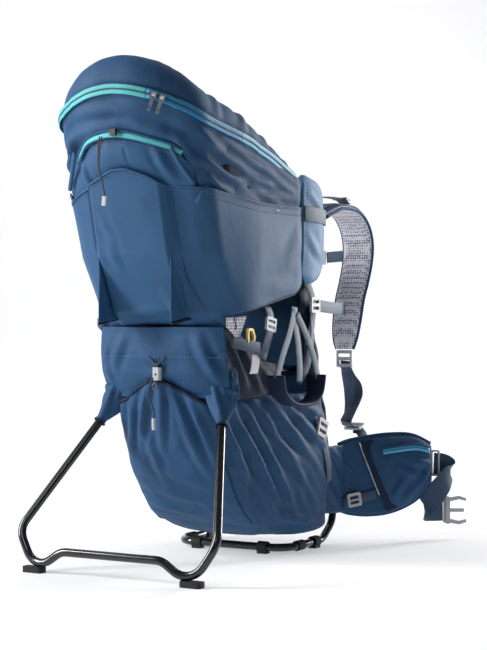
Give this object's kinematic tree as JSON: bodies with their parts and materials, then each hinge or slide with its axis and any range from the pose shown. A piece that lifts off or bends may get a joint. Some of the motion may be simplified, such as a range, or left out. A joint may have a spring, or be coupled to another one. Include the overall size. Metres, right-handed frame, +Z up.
{
  "type": "child carrier backpack",
  "caption": "Child carrier backpack: tubular frame with fold-out stand, padded cockpit, storage pockets, shoulder harness and hip belt.",
  "frame": {"origin": "on the floor, at the middle of the carrier's overall footprint", "axes": "+X across the wearer's back towards the wearer's right, +Y the way the wearer faces, +Z up"},
  "size_m": [0.5691, 0.7127, 0.7748],
  "materials": {
    "tube_black": "dark anodised, glossy",
    "steel": "satin",
    "rubber": "matte",
    "navy": "woven polyester with a slight sheen",
    "navy_dark": "ripstop and soft lining",
    "webbing": "woven webbing",
    "teal": "zip tape",
    "mesh": "spacer mesh",
    "plastic_grey": "satin",
    "plastic_black": "satin",
    "plastic_blue": "satin",
    "plastic_red": "gloss",
    "yellow": "satin",
    "cord": "braided cord"
  },
  "bodies": {
    "pack": {"main_frame": "tube_black", "top_crossbar": "tube_black", "seat_frame": "tube_black", "hinge_brackets": "steel", "hinge_pins": "steel", "base_feet": "rubber", "base_straps": "rubber", "lower_bag": "navy", "rear_flap": "navy", "cockpit": "navy", "collar": "navy", "side_cheeks": "navy", "rear_pocket": "navy", "upper_pocket": "navy", "rim_zip": "teal", "pocket_zip": "teal", "cord_lock_body": "plastic_grey", "drawcord": "cord", "seat_pad": "navy_dark", "child_backrest": "navy_dark", "chin_pad": "navy", "harness_straps": "webbing", "harness_buckle": "plastic_black", "side_buckles": "plastic_grey", "side_rings": "yellow", "back_plate": "navy", "back_pads": "mesh", "lumbar_pad": "mesh", "yoke": "navy", "shoulder_straps": "mesh", "load_lifters": "webbing", "side_straps": "webbing", "strap_webbing": "webbing", "strap_locks": "plastic_grey"},
    "stand": {"kickstand": "tube_black", "kickstand_feet": "rubber", "kickstand_sleeves": "navy_dark"},
    "right_wing": {"right_hip_wing": "navy", "right_hip_pocket": "navy", "right_hip_webbing": "webbing"},
    "left_wing": {"left_hip_wing": "navy", "left_hip_pocket": "navy", "left_hip_webbing": "webbing"},
    "right_clip": {"right_hip_buckle": "plastic_grey"},
    "left_clip": {"left_hip_buckle": "plastic_grey"},
    "inner_slider": {"inner_zip_slider": "steel"},
    "inner_pull": {"inner_zip_pull": "steel"},
    "outer_slider": {"outer_zip_slider": "steel"},
    "outer_pull": {"outer_zip_pull": "steel"},
    "pocket_zipper": {"pocket_slider": "plastic_black", "pull_cord": "cord", "pull_tip": "plastic_grey"},
    "lock_button": {"cord_lock_button": "plastic_blue"},
    "sternum": {"sternum_strap": "webbing", "sternum_buckle": "plastic_grey"},
    "right_step": {"right_stirrup": "navy"},
    "left_step": {"left_stirrup": "navy"},
    "release_button": {"harness_button": "plastic_red"},
    "head_rest": {"head_wings": "navy_dark"}
  },
  "joints": [
    {"name": "stand_fold", "type": "hinge", "parent": "pack", "child": "stand", "pos_m": [0, -0.1633, 0.282], "axis": [1, 0, 0], "range_deg": [0, 65]},
    {"name": "right_wing_swing", "type": "hinge", "parent": "pack", "child": "right_wing", "pos_m": [0.112, 0.1762, 0.11], "axis": [0, 0, 1], "range_deg": [-20, 25]},
    {"name": "left_wing_swing", "type": "hinge", "parent": "pack", "child": "left_wing", "pos_m": [-0.112, 0.1762, 0.11], "axis": [0, 0, 1], "range_deg": [-25, 20]},
    {"name": "right_clip_turn", "type": "hinge", "parent": "right_wing", "child": "right_clip", "pos_m": [0.25, 0.3242, 0.05], "axis": [0, 0, 1], "range_deg": [-35, 35]},
    {"name": "left_clip_turn", "type": "hinge", "parent": "left_wing", "child": "left_clip", "pos_m": [-0.25, 0.3242, 0.05], "axis": [0, 0, 1], "range_deg": [-35, 35]},
    {"name": "inner_slider_travel", "type": "slide", "parent": "pack", "child": "inner_slider", "axis": [-0.8468, -0.4159, 0.3315], "range_m": [-0.01, 0]},
    {"name": "inner_pull_swing", "type": "hinge", "parent": "inner_slider", "child": "inner_pull", "pos_m": [0.08796, -0.33441, 0.70382], "axis": [-0.8468, -0.4159, 0.3315], "range_deg": [0, 80]},
    {"name": "outer_slider_travel", "type": "slide", "parent": "pack", "child": "outer_slider", "axis": [-0.8468, -0.4159, 0.3315], "range_m": [0, 0.01]},
    {"name": "outer_pull_swing", "type": "hinge", "parent": "outer_slider", "child": "outer_pull", "pos_m": [0.07695, -0.33982, 0.70813], "axis": [-0.8468, -0.4159, 0.3315], "range_deg": [0, 80]},
    {"name": "pocket_zip_travel", "type": "slide", "parent": "pack", "child": "pocket_zipper", "axis": [1, 0, 0], "range_m": [-0.02, 0.02]},
    {"name": "cord_lock_press", "type": "slide", "parent": "pack", "child": "lock_button", "axis": [0, 0, -1], "range_m": [0, 0.0025], "stiffness_N_per_m": 300},
    {"name": "sternum_height", "type": "slide", "parent": "pack", "child": "sternum", "axis": [0, 0, 1], "range_m": [-0.012, 0.012]},
    {"name": "right_step_swing", "type": "hinge", "parent": "pack", "child": "right_step", "pos_m": [0.137, -0.0218, 0.404], "axis": [1, 0, 0], "range_deg": [-15, 15]},
    {"name": "left_step_swing", "type": "hinge", "parent": "pack", "child": "left_step", "pos_m": [-0.137, -0.0218, 0.404], "axis": [1, 0, 0], "range_deg": [-15, 15]},
    {"name": "harness_release", "type": "slide", "parent": "pack", "child": "release_button", "axis": [0, -1, 0], "range_m": [0, 0.0025], "stiffness_N_per_m": 400},
    {"name": "head_rest_height", "type": "slide", "parent": "pack", "child": "head_rest", "axis": [0, 0, 1], "range_m": [-0.02, 0.02]}
  ]
}
